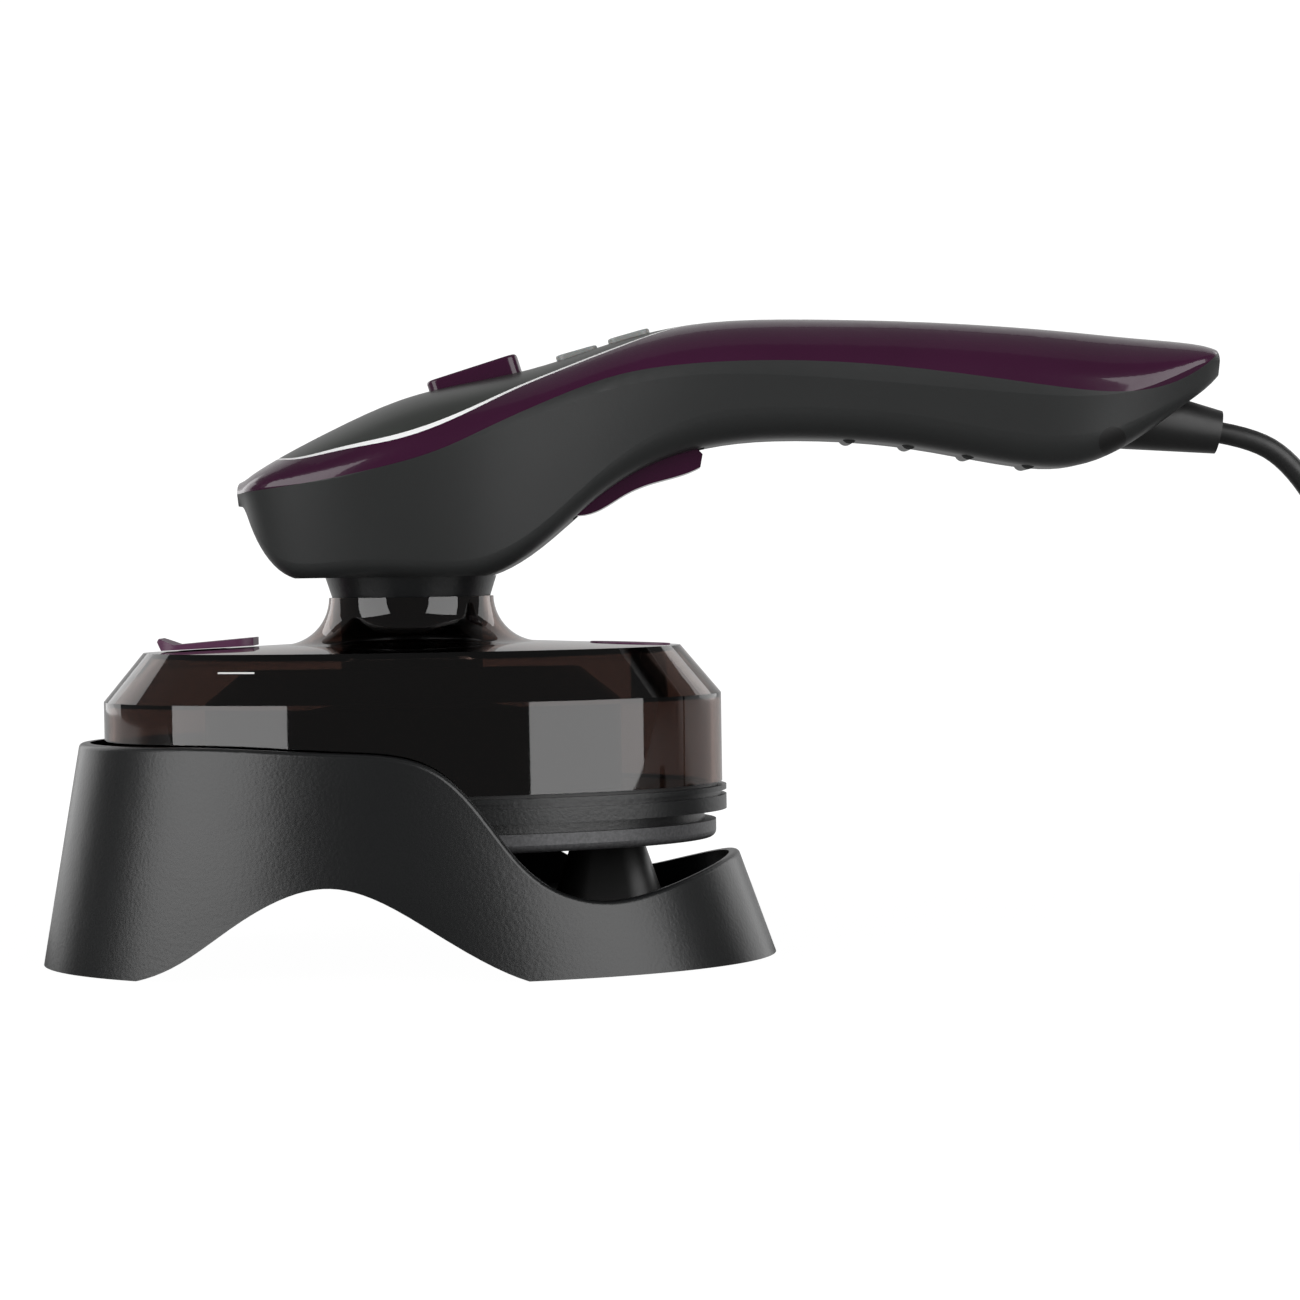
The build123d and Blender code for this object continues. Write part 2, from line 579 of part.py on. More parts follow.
PLUNGER_FOOT_Z = TRIGGER_TOP_Z + PLUNGER_GAP
SWITCH_Z = PLUNGER_FOOT_Z + PLUNGER_REACH
switch_place = Pos(SWITCH_X, 0, SWITCH_Z + SWITCH_HEIGHT / 2)
switch_block = switch_place * Box(SWITCH_LENGTH, SWITCH_WIDTH, SWITCH_HEIGHT)
body = skin - upper_half
for side in (-1, 1):
    body += cross_rib(SWITCH_X + side * (SWITCH_LENGTH + RIB_THICK) / 2, slot_top, SWITCH_Z + SWITCH_HEIGHT)
    body += cross_rib(PUMP_X + side * PUMP_LENGTH * 0.35, GRIP_BOTTOM_Z - 8.0, PUMP_Z)
    lug_y = side * (TRIGGER_WIDTH / 2 + TRIGGER_GAP + RIB_THICK / 2)
    lug = Pos(TRIGGER_PIN_X, lug_y, TRIGGER_PIN_Z) * Box(4 * TRIGGER_PIN_R, RIB_THICK, 20.0)
    body += lug & inside
    for along in (-1, 1):
        post_x = BASE_X + along * (BOARD_LENGTH / 2 - 2 * POST_R)
        post_y = side * (BOARD_WIDTH / 2 - 1.5 * POST_R)
        post = Pos(post_x, post_y, (HEAD_FLOOR_Z + BOARD_Z) / 2) * Cylinder(POST_R, BOARD_Z - HEAD_FLOOR_Z)
        body += post & inside
pump_plane = Plane(origin=(PUMP_X - PUMP_LENGTH / 2, 0, PUMP_Z), z_dir=(1, 0, 0))
pump = extrude(pump_plane * Circle(PUMP_R), PUMP_LENGTH)
plug_line = Plane(origin=(SCREW_PLUG_X, 0, SCREW_PLUG_Z), z_dir=(0, 1, 0))
plug_core = extrude(plug_line * Circle(SCREW_PLUG_R), WIDE, both=True)
plug_middle = Pos(SCREW_PLUG_X, 0, SCREW_PLUG_Z) * Box(4 * SCREW_PLUG_R, GRIP_HALF_WIDTH, 4 * SCREW_PLUG_R)
screw_plugs = (plug_core & (outer - handle_form(SCREW_PLUG_DEPTH))) - plug_middle
for x in RIDGE_X:
    ray = Line((x, 0, HEAD_FLOOR_Z), (x, 0, WIDE))
    low = (ray.edge() & outer).bounding_box().min.Z
    ridge_line = Plane(origin=(x, 0, low - RIDGE_PROUD + RIDGE_R), z_dir=(0, 1, 0))
    body += extrude(ridge_line * Circle(RIDGE_R), RIDGE_WIDTH / 2, both=True)
body -= trigger_slot
body -= pump + screw_plugs + guard
body -= disc(TUBE_BORE_R, BASE_X, HEAD_FLOOR_Z - 5.0, 12.0)
body -= extrude(pin_line * Circle(TRIGGER_PIN_R), TRIGGER_WIDTH / 2 + TRIGGER_GAP + RIB_THICK, both=True)
parts["lower_body"] = body
parts["water_pump"] = pump
parts["screw_plugs"] = screw_plugs
parts["trigger_pin"] = extrude(
    pin_line * Circle(TRIGGER_PIN_R), TRIGGER_WIDTH / 2 + TRIGGER_GAP + RIB_THICK, both=True
)
PLUNGER_SOCKET = PLUNGER_STROKE + PLUNGER_REACH
plunger_foot = Pos(SWITCH_X, 0, PLUNGER_FOOT_Z)
parts["switch_plunger"] = extrude(plunger_foot * Circle(PLUNGER_R), PLUNGER_SOCKET)
socket_depth = PLUNGER_SOCKET + PLUNGER_STROKE + PLUNGER_GAP
socket = extrude(plunger_foot * Circle(PLUNGER_R + PIN_RUNNING_GAP), socket_depth)
parts["trigger_switch"] = switch_block - socket
board_place = Pos(BASE_X, 0, BOARD_Z + BOARD_THICK / 2)
parts["control_board"] = board_place * Box(BOARD_LENGTH, BOARD_WIDTH, BOARD_THICK)

# Cord: a tube along straight runs and tangent arcs from the guard down to the table
CORD_R = CORD_D / 2
COIL_Z = CORD_R + COIL_LIFT
COIL_Y = COIL_OUTER_R
CORD_POINTS = [
    (GUARD_END[0], 0.0, GUARD_END[1]),
    (156.5, 0.0, 126.17),
    (165.1, 0.4, 121.0),
    (173.5, 1.2, 109.8),
    (180.5, 2.2, 93.2),
    (186.3, 3.0, 73.0),
    (191.6, 3.2, 51.7),
    (198.4, 2.6, 32.9),
    (208.5, 1.6, 18.5),
    (222.0, 0.6, 8.2),
    (237.0, 0.0, 4.2),
    (250.0, 0.0, COIL_Z),
    (COIL_X, 0.0, COIL_Z),
]


def bend_radii(points):
    """Largest even arc at each corner: 0.45 of the shorter run over the tangent of half the turn."""
    radii = []
    for before, corner, after in zip(points, points[1:], points[2:]):
        first = Vector(*corner) - Vector(*before)
        second = Vector(*after) - Vector(*corner)
        half_turn = math.radians(first.get_angle(second)) / 2
        radii.append(0.45 * min(first.length, second.length) / math.tan(half_turn))
    return radii


radii = bend_radii(CORD_POINTS)
print("cord bend radii", [round(r, 1) for r in radii])
lead_path = FilletPolyline(*CORD_POINTS, radius=radii)
lead_start = Plane(origin=lead_path @ 0, z_dir=lead_path % 0)
parts["cord_lead"] = sweep(lead_start * Circle(CORD_R), path=lead_path)
print("cord lead length", round(lead_path.length, 1))

# Coil: one unbroken tube that spirals in and out in layers and climbs where it reverses
COIL_PITCH = CORD_D + COIL_SIDE_GAP
COIL_RISE = CORD_D + COIL_RISE_GAP


def biarc(start, start_way, end, end_way):
    """Two tangent arcs between two points with given directions."""
    chord = end - start
    both = chord.dot(start_way + end_way)
    spread = 1 - start_way.dot(end_way)
    reach = (math.sqrt(both * both + 2 * spread * chord.dot(chord)) - both) / (2 * spread)
    first_tip = start + start_way * reach
    last_tip = end - end_way * reach
    middle = (first_tip + last_tip) * 0.5
    middle_way = (last_tip - first_tip).normalized()
    return [TangentArc(start, middle, tangent=start_way), TangentArc(middle, end, tangent=middle_way)]


def coil_node(turn, radius, z):
    """Point on the coil and the way the cord runs there."""
    way = Vector(-math.sin(turn), math.cos(turn), 0)
    point = Vector(COIL_X + radius * math.cos(turn), COIL_Y + radius * math.sin(turn), z)
    return point, way


def coil_nodes():
    turn = -math.pi / 2
    radius = COIL_OUTER_R
    z = COIL_Z
    nodes = [coil_node(turn, radius, z)]
    for layer in range(COIL_LAYERS):
        inward = -1 if layer % 2 == 0 else 1
        if layer:
            turn += math.pi
            z += COIL_RISE
            nodes.append(coil_node(turn, radius, z))
        for _ in range(COIL_HALF_TURNS):
            turn += math.pi
            radius += inward * COIL_PITCH / 2
            nodes.append(coil_node(turn, radius, z))
    cut = 1.5
    nodes = nodes[:-2]
    nodes.append(coil_node(turn - cut * math.pi, radius - cut * COIL_PITCH / 2, z))
    return nodes


PLUG_GRIP = 22.0
TAIL_LEVEL = 26.0
TAIL_DROP = 34.0
nodes = coil_nodes()
coil_edges = []
for (start, start_way), (end, end_way) in zip(nodes, nodes[1:]):
    coil_edges += biarc(start, start_way, end, end_way)
ahead = Vector(0, -1, 0)
coil_end = nodes[-1][0]
tail_start = coil_end + ahead * TAIL_LEVEL
plug_start = Vector(coil_end.X, tail_start.Y - TAIL_DROP - CORD_D, PLUG_R)
tail_end = plug_start - ahead * CORD_D
tail_middle = (tail_start + tail_end) * 0.5
tail_slope = TangentArc(tail_start, tail_middle, tangent=ahead)
coil_edges.append(Line(coil_end, tail_start))
coil_edges += [tail_slope, TangentArc(tail_middle, tail_end, tangent=tail_slope % 1)]
coil_edges.append(Line(tail_end, plug_start))
coil_path = Wire([edge.edge() for edge in coil_edges])
coil_start = Plane(origin=nodes[0][0], z_dir=nodes[0][1])
parts["cord_coil"] = sweep(coil_start * Circle(CORD_R), path=coil_path)
coil_length = coil_path.length
tube_length = parts["cord_coil"].volume / (math.pi * CORD_R**2)
print("coil length", round(coil_length, 1), "tube error", round(tube_length - coil_length, 3))


def least_self_gap():
    """Least gap between stretches of the coil that are not neighbours along it."""
    step = CORD_D / 2
    count = int(coil_length / step)
    places = [coil_path @ (index / count) for index in range(count)]
    points = [(place.X, place.Y, place.Z) for place in places]
    skip = int(4 * CORD_D / step)
    least = WIDE
    for index, point in enumerate(points):
        for other in points[index + skip :]:
            least = min(least, math.dist(point, other))
    return least - CORD_D


print("least gap of the coil to itself", round(least_self_gap(), 2))

# Tie: a flat band round the bundle of turns
bundle_low = COIL_OUTER_R - COIL_HALF_TURNS * COIL_PITCH / 2 - CORD_R - TIE_GAP
bundle_high = COIL_OUTER_R + CORD_R + TIE_GAP
tie_width = bundle_high - bundle_low
tie_height = (COIL_LAYERS - 1) * COIL_RISE + CORD_D + 2 * TIE_GAP
tie_plane = Plane(
    origin=(COIL_X - (bundle_low + bundle_high) / 2, COIL_Y, COIL_Z - CORD_R - TIE_GAP + tie_height / 2),
    x_dir=(1, 0, 0),
    z_dir=(0, 1, 0),
)
tie = tie_plane * RectangleRounded(tie_width + 2 * TIE_THICK, tie_height + 2 * TIE_THICK, CORD_R)
tie -= tie_plane * RectangleRounded(tie_width, tie_height, CORD_R - TIE_THICK)
parts["cord_tie"] = extrude(tie, TIE_WIDTH / 2, both=True)

# Plug: a moulded round body with a grip and two pins
plug_plane = Plane(origin=plug_start, x_dir=(1, 0, 0), z_dir=ahead)
plug = loft([plug_plane * Circle(PLUG_GRIP_R * 0.7), plug_plane * Pos(0, 0, PLUG_GRIP) * Circle(PLUG_GRIP_R)])
plug += loft(
    [
        plug_plane * Pos(0, 0, PLUG_GRIP) * Circle(PLUG_GRIP_R * 1.4),
        plug_plane * Pos(0, 0, PLUG_GRIP + PLUG_FACE) * Circle(PLUG_R),
    ],
    ruled=True,
)
plug_face = plug_plane * Pos(0, 0, PLUG_LENGTH + PLUG_FACE)
plug += extrude(plug_plane * Pos(0, 0, PLUG_GRIP + PLUG_FACE) * Circle(PLUG_R), PLUG_LENGTH - PLUG_GRIP)
parts["plug_body"] = plug
pins = [
    extrude(plug_face * Pos(side * PLUG_PIN_SPACING / 2, 0, 0) * Circle(PLUG_PIN_R), PLUG_PIN_LENGTH)
    for side in (-1, 1)
]
parts["plug_pins"] = Compound(children=pins)

# Stand: a leaning oval skirt, cut by the rim above and the arch below, with a stepped deck inside
lean_shift = (STAND_FRONT_LEAN - STAND_REAR_LEAN) / 2
lean_half = (STAND_FRONT_LEAN + STAND_REAR_LEAN) / 2


def stand_form(inset):
    low = Pos(STAND_X, 0, 0) * Ellipse(STAND_HALF_LENGTH - inset, STAND_HALF_WIDTH - inset)
    high = Pos(STAND_X + lean_shift, 0, STAND_HEIGHT) * Ellipse(
        STAND_HALF_LENGTH - lean_half - inset, STAND_HALF_WIDTH - STAND_SIDE_LEAN - inset
    )
    return loft([low, high], ruled=True)


stand_outer = stand_form(0)
rim_line = Spline(
    (STAND_X - STAND_HALF_LENGTH - 10.0, RIM_FRONT_Z + 0.8),
    (STAND_X - 44.0, RIM_FRONT_Z + 0.2),
    (STAND_X - 12.0, RIM_FRONT_Z - 1.2),
    (STAND_X + 9.3, RIM_FRONT_Z - 5.0),
    (STAND_X + 21.1, (RIM_FRONT_Z + RIM_SADDLE_Z) / 2 + 2.5),
    (STAND_X + 35.2, RIM_SADDLE_Z + 4.9),
    (STAND_X + 49.2, RIM_SADDLE_Z),
    (STAND_X + 66.0, RIM_SADDLE_Z + 2.8),
    (STAND_X + 82.6, RIM_REAR_Z),
    (STAND_X + STAND_HALF_LENGTH + 10.0, RIM_REAR_Z + 7.0),
)
rim_roof = Polyline(rim_line @ 1, ((rim_line @ 1).X, WIDE), ((rim_line @ 0).X, WIDE), rim_line @ 0)
rim_cut = side_prism(rim_line.edges() + rim_roof.edges(), STAND_HALF_WIDTH + 10.0)
arch_line = Spline(
    (ARCH_FRONT_X, 0.0),
    (ARCH_FRONT_X + 0.26 * (ARCH_REAR_X - ARCH_FRONT_X), 0.6 * ARCH_HEIGHT),
    ((ARCH_FRONT_X + ARCH_REAR_X) / 2, ARCH_HEIGHT),
    (ARCH_REAR_X - 0.23 * (ARCH_REAR_X - ARCH_FRONT_X), 0.52 * ARCH_HEIGHT),
    (ARCH_REAR_X, 0.0),
    tangents=((1, 0.25), (1, -0.35)),
)
arch_cut = side_prism(arch_line.edges() + Line(arch_line @ 1, arch_line @ 0).edges(), STAND_HALF_WIDTH + 10.0)
deck_top = [
    (STAND_X - STAND_HALF_LENGTH, DECK_FRONT_Z),
    (STAND_X + 10.0, DECK_FRONT_Z),
    (STAND_X + 33.0, DECK_REAR_Z),
    (STAND_X + STAND_HALF_LENGTH, DECK_REAR_Z),
]
deck_under = [(x, z - DECK_THICK) for x, z in reversed(deck_top)]
deck = side_polygon(deck_top + deck_under, STAND_HALF_WIDTH) & stand_outer
stand = (stand_outer - stand_form(STAND_WALL)) + deck
stand -= rim_cut + arch_cut
tall_edges = [edge for edge in stand.edges() if edge.bounding_box().max.Z > DECK_FRONT_Z + DECK_THICK]
outer_rim = sorted(tall_edges, key=lambda edge: edge.length)[-2:]
parts["stand_shell"] = fillet(outer_rim, RIM_ROUND)


def rest_post(x, low, length, width):
    """Tapered rest standing on the deck and carrying the sole."""
    foot = Pos(x, 0, low) * RectangleRounded(length, width, length * 0.3)
    head = Pos(x, 0, SOLE_Z) * RectangleRounded(length - 2 * POST_TAPER, width - 2 * POST_TAPER, length * 0.2)
    return loft([foot, head], ruled=True)


parts["rear_rest"] = rest_post(REAR_POST_X, DECK_REAR_Z, REAR_POST_LENGTH, REAR_POST_WIDTH)
parts["front_rest"] = rest_post(FRONT_POST_X, DECK_FRONT_Z, REAR_POST_LENGTH, REAR_POST_WIDTH)

for name, shape in parts.items():
    print(name, shape.is_valid, round(shape.volume, 1), len(shape.solids()))
os.makedirs("parts", exist_ok=True)
for name, shape in parts.items():
    export_step(shape, f"parts/{name}.step")
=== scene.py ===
import math

import bmesh
import bpy
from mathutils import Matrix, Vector


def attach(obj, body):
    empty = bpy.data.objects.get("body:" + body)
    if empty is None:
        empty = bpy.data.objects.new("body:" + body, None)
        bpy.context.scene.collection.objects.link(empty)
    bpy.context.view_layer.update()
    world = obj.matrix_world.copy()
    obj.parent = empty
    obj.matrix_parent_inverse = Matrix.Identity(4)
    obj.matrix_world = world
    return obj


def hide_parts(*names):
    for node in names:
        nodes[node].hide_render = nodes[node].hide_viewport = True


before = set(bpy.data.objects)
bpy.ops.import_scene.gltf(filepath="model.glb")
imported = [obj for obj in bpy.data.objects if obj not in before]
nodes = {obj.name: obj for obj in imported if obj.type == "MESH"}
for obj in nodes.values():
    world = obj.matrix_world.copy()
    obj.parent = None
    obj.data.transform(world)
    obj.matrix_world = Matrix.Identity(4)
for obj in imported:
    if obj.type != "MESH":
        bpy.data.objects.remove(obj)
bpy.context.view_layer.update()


# Camera: the photograph looks at the left flank of the iron, nose to the left,
# from just above the level of the tank, and it leans by about a degree.
def new_object(name, data):
    """Puts one object into the scene."""
    made = bpy.data.objects.new(name, data)
    bpy.context.scene.collection.objects.link(made)
    return made


def aim_from(thing, place, target):
    """Stands a camera or a lamp at a place and turns it to face a target."""
    thing.location = place
    thing.rotation_euler = (Vector(target) - Vector(place)).to_track_quat("-Z", "Y").to_euler()


camera_lean = -0.0157
camera_data = bpy.data.cameras.new("side_camera")
camera_data.sensor_width = 36.0
camera_data.lens = 94.2
camera = new_object("side_camera", camera_data)
bpy.context.scene.camera = camera
aim_from(camera, place=(0.0054, -0.85, 0.098), target=(0.0054, 0.0, 0.0757))
camera.rotation_euler.rotate_axis("Z", camera_lean)


# Studio paper: a pale floor and a white wall far behind it, both of matt seamless paper with no
# gloss, lit to white so that only a faint shadow shows. The paper throws little light back up,
# and glossy pieces mirror its white only towards the back of the set.
def linear(code):
    """Linear colour from an sRGB hex code."""
    parts = [int(code[i : i + 2], 16) / 255 for i in (1, 3, 5)]
    return [p / 12.92 if p <= 0.04045 else ((p + 0.055) / 1.055) ** 2.4 for p in parts] + [1.0]


def add_node(tree, kind, values=None, links=None, **settings):
    """Adds one shader node with its settings, socket values and incoming links."""
    node = tree.nodes.new(kind)
    for name, value in settings.items():
        setattr(node, name, value)
    for socket, value in (values or {}).items():
        node.inputs[socket].default_value = value
    for socket, source in (links or {}).items():
        tree.links.new(source, node.inputs[socket])
    return node


def new_finish(name, values):
    """Starts a material whose principled shader has these socket values."""
    material = bpy.data.materials.new(name)
    material.use_nodes = True
    shader = material.node_tree.nodes["Principled BSDF"]
    for socket, value in values.items():
        shader.inputs[socket].default_value = value
    return material


paper_white, mirror_white = 0.9, 0.45
paper_glow = 1.1
dark_until, white_from = 0.02, 0.22
seamless_paper = new_finish("seamless_paper", {"Base Color": linear("#8c8c8c"), "Roughness": 0.95})
tree = seamless_paper.node_tree
lit_paper = tree.nodes["Principled BSDF"]
white_paper = add_node(
    tree, "ShaderNodeEmission", {"Color": linear("#ffffff"), "Strength": paper_glow})
seen = add_node(tree, "ShaderNodeLightPath").outputs
direct = add_node(
    tree, "ShaderNodeMath", {1: paper_white}, {0: seen["Is Camera Ray"]}, operation="MULTIPLY")
mirrored = add_node(
    tree, "ShaderNodeMath", {1: mirror_white}, {0: seen["Is Glossy Ray"]}, operation="MULTIPLY")
shown = add_node(
    tree, "ShaderNodeMath", operation="MAXIMUM",
    links={0: seen["Is Camera Ray"], 1: mirrored.outputs[0]})
clear = add_node(
    tree, "ShaderNodeMath", operation="MAXIMUM",
    links={0: shown.outputs[0], 1: seen["Is Transmission Ray"]})
place = add_node(tree, "ShaderNodeTexCoord").outputs["Object"]
spot = add_node(tree, "ShaderNodeSeparateXYZ", links={0: place})
depth = add_node(
    tree, "ShaderNodeMapRange", {"From Min": dark_until, "From Max": white_from},
    {"Value": spot.outputs["Y"]}, interpolation_type="SMOOTHSTEP")
far = add_node(
    tree, "ShaderNodeMath", operation="MULTIPLY",
    links={0: clear.outputs[0], 1: depth.outputs["Result"]})
white_share = add_node(
    tree, "ShaderNodeMath", operation="MAXIMUM", links={0: far.outputs[0], 1: direct.outputs[0]})
paper = add_node(
    tree, "ShaderNodeMixShader",
    links={0: white_share.outputs[0], 1: lit_paper.outputs[0], 2: white_paper.outputs[0]})
tree.links.new(paper.outputs[0], tree.nodes["Material Output"].inputs["Surface"])
upright = Vector((0.0, 0.0, 1.0))
backdrops = [
    ("studio_floor", 1.5, (0.0, 0.0, 1.0), (0.1, 1.2, 0.0)),
    ("studio_wall", 2.2, (0.0, -1.0, 0.0), (0.1, 2.4, 1.0)),
]
for sheet_name, sheet_half, sheet_facing, sheet_middle in backdrops:
    sheet_turn = upright.rotation_difference(Vector(sheet_facing)).to_matrix()
    sheet_bm = bmesh.new()
    bmesh.ops.create_grid(sheet_bm, x_segments=1, y_segments=1, size=sheet_half)
    bmesh.ops.rotate(sheet_bm, verts=sheet_bm.verts, matrix=sheet_turn)
    bmesh.ops.translate(sheet_bm, verts=sheet_bm.verts, vec=sheet_middle)
    sheet_mesh = bpy.data.meshes.new(sheet_name)
    sheet_bm.to_mesh(sheet_mesh)
    sheet_bm.free()
    sheet_mesh.materials.append(seamless_paper)
    backdrop = new_object(sheet_name, sheet_mesh)

# Studio light: two tall soft boxes either side of the camera, a dim long one overhead, two weak
# ones behind, and a surround that is weak grey for lighting and mirroring and white where the
# camera looks past the paper. Clear pieces don't show the boxes themselves.
surround_light, surround_seen = 0.13, 1.0
world = bpy.data.worlds.new("studio_surround")
world.use_nodes = True
tree = world.node_tree
surround_grey = tree.nodes["Background"]
surround_grey.inputs["Color"].default_value = linear("#ffffff")
surround_grey.inputs["Strength"].default_value = surround_light
surround_white = add_node(
    tree, "ShaderNodeBackground", {"Color": linear("#ffffff"), "Strength": surround_seen})
seen = add_node(tree, "ShaderNodeLightPath").outputs
surround = add_node(
    tree, "ShaderNodeMixShader",
    links={0: seen["Is Camera Ray"], 1: surround_grey.outputs[0], 2: surround_white.outputs[0]})
tree.links.new(surround.outputs[0], tree.nodes["World Output"].inputs["Surface"])
bpy.context.scene.world = world
bpy.context.scene.view_settings.view_transform = "Standard"
box_target = (0.0, 0.0, 0.07)
soft_boxes = [
    ("left_box", (-1.06, -0.754, 0.3), 1.0, 1.5, 15.0),
    ("right_box", (0.91, -0.811, 0.3), 1.0, 1.5, 15.0),
    ("top_box", (0.05, 0.3, 1.5), 2.0, 1.2, 1.0),
    ("back_left_box", (-1.1, 0.95, 0.4), 0.9, 1.0, 3.5),
    ("back_right_box", (1.1, 0.95, 0.4), 0.9, 1.0, 3.5),
]
for box_name, box_place, box_width, box_height, box_power in soft_boxes:
    box_data = bpy.data.lights.new(box_name, "AREA")
    box_data.shape = "RECTANGLE"
    box_data.size = box_width
    box_data.size_y = box_height
    box_data.energy = box_power
    box = new_object(box_name, box_data)
    box.visible_transmission = False
    aim_from(box, box_place, box_target)


# Stand, base ring and neck collar: charcoal ABS, moulded in a spark-eroded tool, which leaves a
# fine matt grain that softens every highlight. The grain is drawn at 0.9 mm, coarser than the
# real quarter millimetre, so that it shows.
def vary_tone(material, spot_mm, detail, dark, pale, dark_end=0.0, pale_end=1.0):
    """Clouds the colour between two tones, in spots of a real size."""
    tree = material.node_tree
    place = add_node(tree, "ShaderNodeTexCoord").outputs["Object"]
    spots = add_node(
        tree, "ShaderNodeTexNoise", {"Scale": 1000 / spot_mm, "Detail": detail}, {"Vector": place})
    tone = add_node(tree, "ShaderNodeValToRGB", links={"Fac": spots.outputs["Fac"]})
    dark_stop, pale_stop = tone.color_ramp.elements
    dark_stop.position, pale_stop.position = dark_end, pale_end
    dark_stop.color, pale_stop.color = linear(dark), linear(pale)
    tree.links.new(tone.outputs["Color"], tree.nodes["Principled BSDF"].inputs["Base Color"])


def emboss(material, grain_mm, detail, strength, depth_mm):
    """Roughens the skin with a fine relief of a real grain size and depth."""
    tree = material.node_tree
    place = add_node(tree, "ShaderNodeTexCoord").outputs["Object"]
    grain = add_node(
        tree, "ShaderNodeTexNoise", {"Scale": 1000 / grain_mm, "Detail": detail}, {"Vector": place})
    relief = add_node(
        tree, "ShaderNodeBump", {"Strength": strength, "Distance": depth_mm / 1000},
        {"Height": grain.outputs["Fac"]})
    tree.links.new(relief.outputs["Normal"], tree.nodes["Principled BSDF"].inputs["Normal"])


def dress(material, *names):
    """Gives CAD nodes their finish."""
    for name in names:
        nodes[name].data.materials.clear()
        nodes[name].data.materials.append(material)


stand_abs = new_finish(
    "spark_eroded_abs", {"Roughness": 0.3, "IOR": 1.53, "Specular IOR Level": 0.5})
vary_tone(
    stand_abs, spot_mm=35.0, detail=2.0, dark="#0e0f10", pale="#151617",
    dark_end=0.3, pale_end=0.7)
emboss(stand_abs, grain_mm=0.9, detail=3.0, strength=0.35, depth_mm=0.12)
dress(stand_abs, "stand_shell", "base_ring", "neck_collar")


# Rests: two tapered blocks on the stand's deck that carry the sole, moulded in rubber that is
# smoother and blacker than the stand, with a faint uneven bloom. The tank's seal and the band
# round the coiled cord are of the same rubber.
def vary_sheen(material, spot_mm, detail, smooth, dull):
    """Clouds the roughness between two values, in spots of a real size."""
    tree = material.node_tree
    place = add_node(tree, "ShaderNodeTexCoord").outputs["Object"]
    spots = add_node(
        tree, "ShaderNodeTexNoise", {"Scale": 1000 / spot_mm, "Detail": detail}, {"Vector": place})
    sheen = add_node(
        tree, "ShaderNodeMapRange", {"To Min": smooth, "To Max": dull},
        {"Value": spots.outputs["Fac"]})
    tree.links.new(sheen.outputs["Result"], tree.nodes["Principled BSDF"].inputs["Roughness"])


rest_rubber = new_finish("moulded_rubber", {"Base Color": linear("#141414"), "IOR": 1.52})
vary_sheen(rest_rubber, spot_mm=6.0, detail=4.0, smooth=0.34, dull=0.5)
dress(rest_rubber, "rear_rest", "front_rest", "tank_seal", "cord_tie")

# Sole and heater: two castings in aluminium, one on top of the other. The sole has a dark ceramic
# coat, sprayed and fired, with a fine speckle; the heater keeps its bare, uneven casting skin.
sole_coat = new_finish("ceramic_coat", {"Metallic": 0.35, "Roughness": 0.38})
vary_tone(
    sole_coat, spot_mm=0.7, detail=2.0, dark="#4b4b4c", pale="#5e5e60",
    dark_end=0.35, pale_end=0.72)
dress(sole_coat, "soleplate")
heater_cast = new_finish("die_cast_aluminium", {"Base Color": linear("#a8a8aa"), "Metallic": 1.0})
vary_sheen(heater_cast, spot_mm=4.0, detail=5.0, smooth=0.35, dull=0.6)
dress(heater_cast, "heater_block")

# Tank: smoked clear polycarbonate, moulded to a high gloss with a slow ripple in the wall.
# Behind it shows the steam housing, a plain black ABS moulding with a dull skin; the small
# fittings inside the iron, the screw plugs and the mains plug are of the same black ABS.
smoked_pc = new_finish("smoked_polycarbonate", {
    "Base Color": linear("#6a5750"), "Roughness": 0.03, "IOR": 1.58, "Transmission Weight": 1.0})
emboss(smoked_pc, grain_mm=12.0, detail=1.0, strength=0.04, depth_mm=0.2)
dress(smoked_pc, "water_tank")
inner_abs = new_finish("black_abs", {"Base Color": linear("#0b0a0a"), "IOR": 1.53})
vary_sheen(inner_abs, spot_mm=8.0, detail=3.0, smooth=0.4, dull=0.55)
dress(
    inner_abs, "steam_housing", "outlet_valve", "water_pump", "trigger_switch", "plug_body",
    "screw_plugs")

# Fill line: a short white line at the highest water level, pad-printed in matt ink on the tank's
# sloping shoulder. It is cut from an oval drawn round the shoulder and given the ink's thickness.
shoulder_low, shoulder_high = 0.065, 0.077
shoulder_half, shoulder_inset = 0.077, 0.010
oval_ratio = 0.635
tank_middle_x = -0.054
ink_z, ink_width, ink_thick = 0.0725, 0.0004, 0.00006
ink_from, ink_to = -0.0988, -0.0884
oval_steps = 400
slope = shoulder_inset / (shoulder_high - shoulder_low)
ink_half = shoulder_half - slope * (ink_z - shoulder_low) + ink_thick
ink_bm = bmesh.new()
bmesh.ops.create_circle(ink_bm, segments=oval_steps, radius=1.0)
bmesh.ops.scale(ink_bm, verts=ink_bm.verts, vec=(ink_half, ink_half * oval_ratio, 1.0))
bmesh.ops.translate(ink_bm, verts=ink_bm.verts, vec=(tank_middle_x, 0.0, ink_z))
unprinted = [v for v in ink_bm.verts if v.co.y > 0 or not ink_from <= v.co.x <= ink_to]
bmesh.ops.delete(ink_bm, geom=unprinted, context="VERTS")
ink_band = bmesh.ops.extrude_edge_only(ink_bm, edges=ink_bm.edges[:])["geom"]
ink_top = [v for v in ink_band if isinstance(v, bmesh.types.BMVert)]
